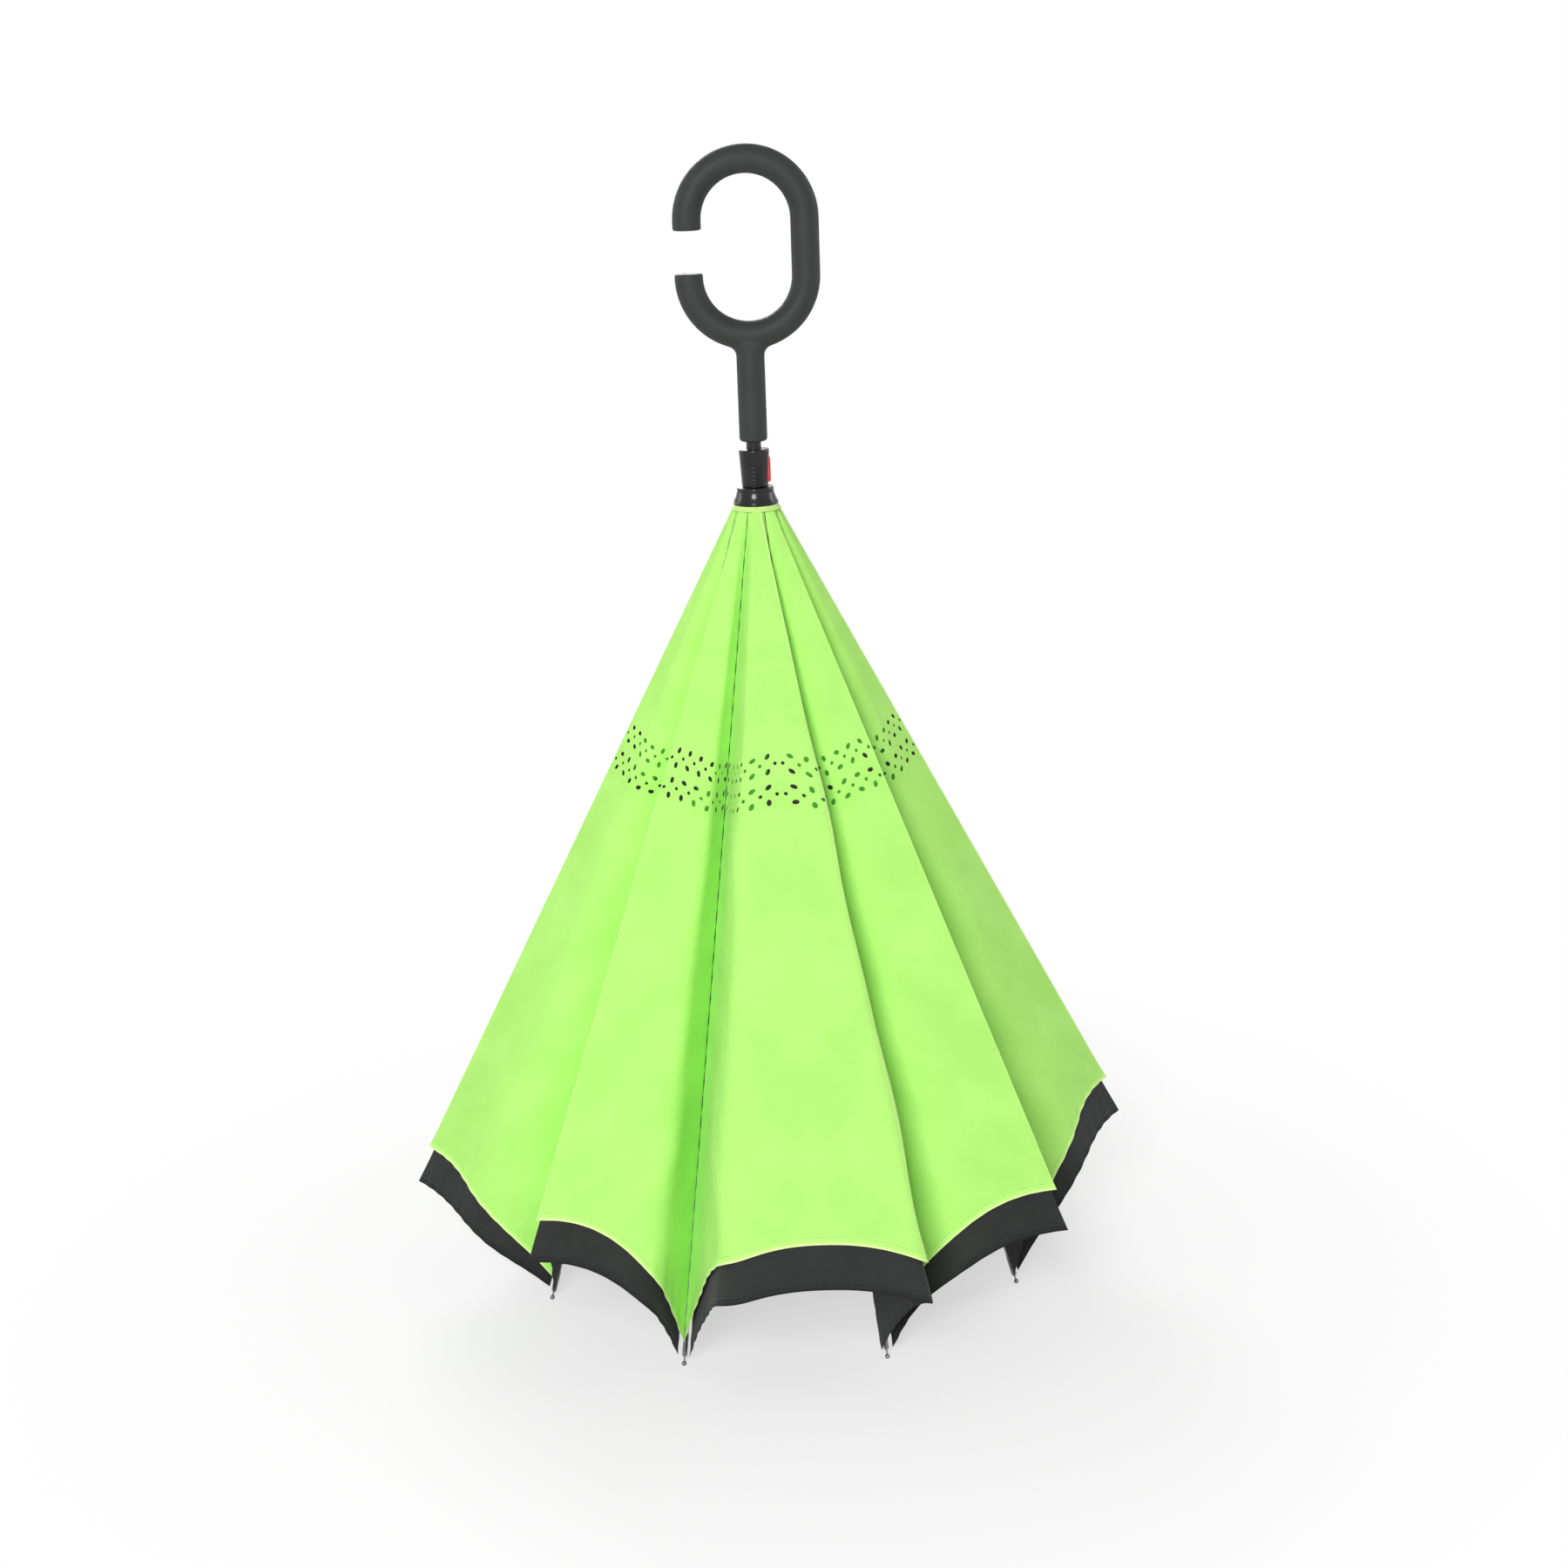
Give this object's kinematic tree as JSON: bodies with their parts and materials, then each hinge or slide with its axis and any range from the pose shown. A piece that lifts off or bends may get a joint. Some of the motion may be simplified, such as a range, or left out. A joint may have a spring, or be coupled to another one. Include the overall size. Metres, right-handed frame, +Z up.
{
  "type": "inverted umbrella",
  "caption": "Inverted umbrella, closed and standing on its rib tips, with a hook handle; the runner slides down the shaft to open the ribs and the two-layer canopy.",
  "frame": {"origin": "on the floor, on the axis of the shaft, below the closed umbrella that stands on its rib tips", "axes": "+Z up along the shaft towards the handle, -Y the front of the picture, -X the side of the hook's mouth"},
  "size_m": [0.517, 0.517, 0.7998],
  "materials": {
    "soft_touch_rubber": "matte soft-touch",
    "gloss_black_plastic": "glossy",
    "red_plastic": "satin",
    "steel": "satin",
    "green_cloth": "plain woven",
    "black_cloth": "plain woven"
  },
  "bodies": {
    "frame": {"handle": "soft_touch_rubber", "shaft": "steel", "hub": "gloss_black_plastic", "hub_ring": "steel", "hub_cap": "gloss_black_plastic"},
    "runner": {"runner_body": "gloss_black_plastic", "flare_ring": "gloss_black_plastic", "crown": "gloss_black_plastic", "crown_ring": "steel"},
    "button": {"red_button": "red_plastic"},
    "rib_arm_1": {"rib_1": "steel", "tip_1": "steel"},
    "rib_arm_2": {"rib_2": "steel", "tip_2": "steel"},
    "rib_arm_3": {"rib_3": "steel", "tip_3": "steel"},
    "rib_arm_4": {"rib_4": "steel", "tip_4": "steel"},
    "rib_arm_5": {"rib_5": "steel", "tip_5": "steel"},
    "rib_arm_6": {"rib_6": "steel", "tip_6": "steel"},
    "rib_arm_7": {"rib_7": "steel", "tip_7": "steel"},
    "rib_arm_8": {"rib_8": "steel", "tip_8": "steel"},
    "strut_1": {"stretcher_1": "steel"},
    "strut_2": {"stretcher_2": "steel"},
    "strut_3": {"stretcher_3": "steel"},
    "strut_4": {"stretcher_4": "steel"},
    "strut_5": {"stretcher_5": "steel"},
    "strut_6": {"stretcher_6": "steel"},
    "strut_7": {"stretcher_7": "steel"},
    "strut_8": {"stretcher_8": "steel"},
    "left_fold_1": {"green_gore_1": "green_cloth"},
    "right_fold_1": {"black_gore_1": "black_cloth"},
    "left_fold_2": {"green_gore_2": "green_cloth"},
    "right_fold_2": {"black_gore_2": "black_cloth"},
    "left_fold_3": {"green_gore_3": "green_cloth"},
    "right_fold_3": {"black_gore_3": "black_cloth"},
    "left_fold_4": {"green_gore_4": "green_cloth"},
    "right_fold_4": {"black_gore_4": "black_cloth"},
    "left_fold_5": {"green_gore_5": "green_cloth"},
    "right_fold_5": {"black_gore_5": "black_cloth"},
    "left_fold_6": {"green_gore_6": "green_cloth"},
    "right_fold_6": {"black_gore_6": "black_cloth"},
    "left_fold_7": {"green_gore_7": "green_cloth"},
    "right_fold_7": {"black_gore_7": "black_cloth"},
    "left_fold_8": {"green_gore_8": "green_cloth"},
    "right_fold_8": {"black_gore_8": "black_cloth"}
  },
  "joints": [
    {"name": "runner_slide", "type": "slide", "parent": "frame", "child": "runner", "axis": [0, 0, -1], "range_m": [0, 0.32487]},
    {"name": "button_press", "type": "slide", "parent": "runner", "child": "button", "axis": [-1, 0, 0], "range_m": [0, 0.0012], "stiffness_N_per_m": 400, "springref_m": -0.001},
    {"name": "rib_hinge_1", "type": "hinge", "parent": "runner", "child": "rib_arm_1", "pos_m": [-0.00432, -0.01044, 0.55841], "axis": [-0.9239, 0.3827, 0], "range_deg": [0, 80]},
    {"name": "rib_hinge_2", "type": "hinge", "parent": "runner", "child": "rib_arm_2", "pos_m": [0.00432, -0.01044, 0.55841], "axis": [-0.9239, -0.3827, 0], "range_deg": [0, 80]},
    {"name": "rib_hinge_3", "type": "hinge", "parent": "runner", "child": "rib_arm_3", "pos_m": [0.01044, -0.00432, 0.55841], "axis": [-0.3827, -0.9239, 0], "range_deg": [0, 80]},
    {"name": "rib_hinge_4", "type": "hinge", "parent": "runner", "child": "rib_arm_4", "pos_m": [0.01044, 0.00432, 0.55841], "axis": [0.3827, -0.9239, 0], "range_deg": [0, 80]},
    {"name": "rib_hinge_5", "type": "hinge", "parent": "runner", "child": "rib_arm_5", "pos_m": [0.00432, 0.01044, 0.55841], "axis": [0.9239, -0.3827, 0], "range_deg": [0, 80]},
    {"name": "rib_hinge_6", "type": "hinge", "parent": "runner", "child": "rib_arm_6", "pos_m": [-0.00432, 0.01044, 0.55841], "axis": [0.9239, 0.3827, 0], "range_deg": [0, 80]},
    {"name": "rib_hinge_7", "type": "hinge", "parent": "runner", "child": "rib_arm_7", "pos_m": [-0.01044, 0.00432, 0.55841], "axis": [0.3827, 0.9239, 0], "range_deg": [0, 80]},
    {"name": "rib_hinge_8", "type": "hinge", "parent": "runner", "child": "rib_arm_8", "pos_m": [-0.01044, -0.00432, 0.55841], "axis": [-0.3827, 0.9239, 0], "range_deg": [0, 80]},
    {"name": "strut_hinge_1", "type": "hinge", "parent": "frame", "child": "strut_1", "pos_m": [-0.00364, -0.00878, 0.1455], "axis": [0.9239, -0.3827, 0], "range_deg": [0, 45.49]},
    {"name": "strut_hinge_2", "type": "hinge", "parent": "frame", "child": "strut_2", "pos_m": [0.00364, -0.00878, 0.1455], "axis": [0.9239, 0.3827, 0], "range_deg": [0, 45.49]},
    {"name": "strut_hinge_3", "type": "hinge", "parent": "frame", "child": "strut_3", "pos_m": [0.00878, -0.00364, 0.1455], "axis": [0.3827, 0.9239, 0], "range_deg": [0, 45.49]},
    {"name": "strut_hinge_4", "type": "hinge", "parent": "frame", "child": "strut_4", "pos_m": [0.00878, 0.00364, 0.1455], "axis": [-0.3827, 0.9239, 0], "range_deg": [0, 45.49]},
    {"name": "strut_hinge_5", "type": "hinge", "parent": "frame", "child": "strut_5", "pos_m": [0.00364, 0.00878, 0.1455], "axis": [-0.9239, 0.3827, 0], "range_deg": [0, 45.49]},
    {"name": "strut_hinge_6", "type": "hinge", "parent": "frame", "child": "strut_6", "pos_m": [-0.00364, 0.00878, 0.1455], "axis": [-0.9239, -0.3827, 0], "range_deg": [0, 45.49]},
    {"name": "strut_hinge_7", "type": "hinge", "parent": "frame", "child": "strut_7", "pos_m": [-0.00878, 0.00364, 0.1455], "axis": [-0.3827, -0.9239, 0], "range_deg": [0, 45.49]},
    {"name": "strut_hinge_8", "type": "hinge", "parent": "frame", "child": "strut_8", "pos_m": [-0.00878, -0.00364, 0.1455], "axis": [0.3827, -0.9239, 0], "range_deg": [0, 45.49]},
    {"name": "left_fold_hinge_1", "type": "hinge", "parent": "rib_arm_1", "child": "left_fold_1", "pos_m": [0, -0.01223, 0.55841], "axis": [-0.0341, 0.0576, 0.9978], "range_deg": [0, 27.24], "deforming": ["green_gore_1"]},
    {"name": "right_fold_hinge_1", "type": "hinge", "parent": "rib_arm_2", "child": "right_fold_1", "pos_m": [0, -0.01223, 0.55841], "axis": [-0.0356, -0.1288, -0.991], "range_deg": [0, 48.68], "deforming": ["black_gore_1"]},
    {"name": "left_fold_hinge_2", "type": "hinge", "parent": "rib_arm_2", "child": "left_fold_2", "pos_m": [0.00865, -0.00865, 0.55841], "axis": [-0.0734, 0.021, 0.9971], "range_deg": [0, 30.24], "deforming": ["green_gore_2"]},
    {"name": "right_fold_hinge_2", "type": "hinge", "parent": "rib_arm_3", "child": "right_fold_2", "pos_m": [0.00865, -0.00865, 0.55841], "axis": [0.055, -0.1082, -0.9926], "range_deg": [0, 44.54], "deforming": ["black_gore_2"]},
    {"name": "left_fold_hinge_3", "type": "hinge", "parent": "rib_arm_3", "child": "left_fold_3", "pos_m": [0.01223, 0, 0.55841], "axis": [-0.0747, -0.0384, 0.9965], "range_deg": [0, 32.64], "deforming": ["green_gore_3"]},
    {"name": "right_fold_hinge_3", "type": "hinge", "parent": "rib_arm_4", "child": "right_fold_3", "pos_m": [0.01223, 0, 0.55841], "axis": [0.1054, -0.0387, -0.9937], "range_deg": [0, 41.58], "deforming": ["black_gore_3"]},
    {"name": "left_fold_hinge_4", "type": "hinge", "parent": "rib_arm_4", "child": "left_fold_4", "pos_m": [0.00865, 0.00865, 0.55841], "axis": [-0.0217, -0.0745, 0.997], "range_deg": [0, 30.63], "deforming": ["green_gore_4"]},
    {"name": "right_fold_hinge_4", "type": "hinge", "parent": "rib_arm_5", "child": "right_fold_4", "pos_m": [0.00865, 0.00865, 0.55841], "axis": [0.1072, 0.0537, -0.9928], "range_deg": [0, 44.04], "deforming": ["black_gore_4"]},
    {"name": "left_fold_hinge_5", "type": "hinge", "parent": "rib_arm_5", "child": "left_fold_5", "pos_m": [0, 0.01223, 0.55841], "axis": [0.0341, -0.0576, 0.9978], "range_deg": [0, 27.24], "deforming": ["green_gore_5"]},
    {"name": "right_fold_hinge_5", "type": "hinge", "parent": "rib_arm_6", "child": "right_fold_5", "pos_m": [0, 0.01223, 0.55841], "axis": [0.0356, 0.1288, -0.991], "range_deg": [0, 48.68], "deforming": ["black_gore_5"]},
    {"name": "left_fold_hinge_6", "type": "hinge", "parent": "rib_arm_6", "child": "left_fold_6", "pos_m": [-0.00865, 0.00865, 0.55841], "axis": [0.0734, -0.021, 0.9971], "range_deg": [0, 30.24], "deforming": ["green_gore_6"]},
    {"name": "right_fold_hinge_6", "type": "hinge", "parent": "rib_arm_7", "child": "right_fold_6", "pos_m": [-0.00865, 0.00865, 0.55841], "axis": [-0.055, 0.1082, -0.9926], "range_deg": [0, 44.54], "deforming": ["black_gore_6"]},
    {"name": "left_fold_hinge_7", "type": "hinge", "parent": "rib_arm_7", "child": "left_fold_7", "pos_m": [-0.01223, 0, 0.55841], "axis": [0.0747, 0.0384, 0.9965], "range_deg": [0, 32.64], "deforming": ["green_gore_7"]},
    {"name": "right_fold_hinge_7", "type": "hinge", "parent": "rib_arm_8", "child": "right_fold_7", "pos_m": [-0.01223, 0, 0.55841], "axis": [-0.1054, 0.0387, -0.9937], "range_deg": [0, 41.58], "deforming": ["black_gore_7"]},
    {"name": "left_fold_hinge_8", "type": "hinge", "parent": "rib_arm_8", "child": "left_fold_8", "pos_m": [-0.00865, -0.00865, 0.55841], "axis": [0.0217, 0.0745, 0.997], "range_deg": [0, 30.63], "deforming": ["green_gore_8"]},
    {"name": "right_fold_hinge_8", "type": "hinge", "parent": "rib_arm_1", "child": "right_fold_8", "pos_m": [-0.00865, -0.00865, 0.55841], "axis": [-0.1072, -0.0537, -0.9928], "range_deg": [0, 44.04], "deforming": ["black_gore_8"]}
  ],
  "couplings": [
    {"joint": "rib_hinge_1", "follows": "runner_slide", "rad_per_m": 4.2979},
    {"joint": "rib_hinge_2", "follows": "runner_slide", "rad_per_m": 4.2979},
    {"joint": "rib_hinge_3", "follows": "runner_slide", "rad_per_m": 4.2979},
    {"joint": "rib_hinge_4", "follows": "runner_slide", "rad_per_m": 4.2979},
    {"joint": "rib_hinge_5", "follows": "runner_slide", "rad_per_m": 4.2979},
    {"joint": "rib_hinge_6", "follows": "runner_slide", "rad_per_m": 4.2979},
    {"joint": "rib_hinge_7", "follows": "runner_slide", "rad_per_m": 4.2979},
    {"joint": "rib_hinge_8", "follows": "runner_slide", "rad_per_m": 4.2979},
    {"joint": "strut_hinge_1", "follows": "runner_slide", "rad_per_m": 2.4437},
    {"joint": "strut_hinge_2", "follows": "runner_slide", "rad_per_m": 2.4437},
    {"joint": "strut_hinge_3", "follows": "runner_slide", "rad_per_m": 2.4437},
    {"joint": "strut_hinge_4", "follows": "runner_slide", "rad_per_m": 2.4437},
    {"joint": "strut_hinge_5", "follows": "runner_slide", "rad_per_m": 2.4437},
    {"joint": "strut_hinge_6", "follows": "runner_slide", "rad_per_m": 2.4437},
    {"joint": "strut_hinge_7", "follows": "runner_slide", "rad_per_m": 2.4437},
    {"joint": "strut_hinge_8", "follows": "runner_slide", "rad_per_m": 2.4437},
    {"joint": "left_fold_hinge_1", "follows": "runner_slide", "rad_per_m": 1.4635},
    {"joint": "right_fold_hinge_1", "follows": "runner_slide", "rad_per_m": 2.6152},
    {"joint": "left_fold_hinge_2", "follows": "runner_slide", "rad_per_m": 1.6247},
    {"joint": "right_fold_hinge_2", "follows": "runner_slide", "rad_per_m": 2.3928},
    {"joint": "left_fold_hinge_3", "follows": "runner_slide", "rad_per_m": 1.7535},
    {"joint": "right_fold_hinge_3", "follows": "runner_slide", "rad_per_m": 2.2336},
    {"joint": "left_fold_hinge_4", "follows": "runner_slide", "rad_per_m": 1.6457},
    {"joint": "right_fold_hinge_4", "follows": "runner_slide", "rad_per_m": 2.3658},
    {"joint": "left_fold_hinge_5", "follows": "runner_slide", "rad_per_m": 1.4635},
    {"joint": "right_fold_hinge_5", "follows": "runner_slide", "rad_per_m": 2.6152},
    {"joint": "left_fold_hinge_6", "follows": "runner_slide", "rad_per_m": 1.6247},
    {"joint": "right_fold_hinge_6", "follows": "runner_slide", "rad_per_m": 2.3928},
    {"joint": "left_fold_hinge_7", "follows": "runner_slide", "rad_per_m": 1.7535},
    {"joint": "right_fold_hinge_7", "follows": "runner_slide", "rad_per_m": 2.2336},
    {"joint": "left_fold_hinge_8", "follows": "runner_slide", "rad_per_m": 1.6457},
    {"joint": "right_fold_hinge_8", "follows": "runner_slide", "rad_per_m": 2.3658}
  ]
}
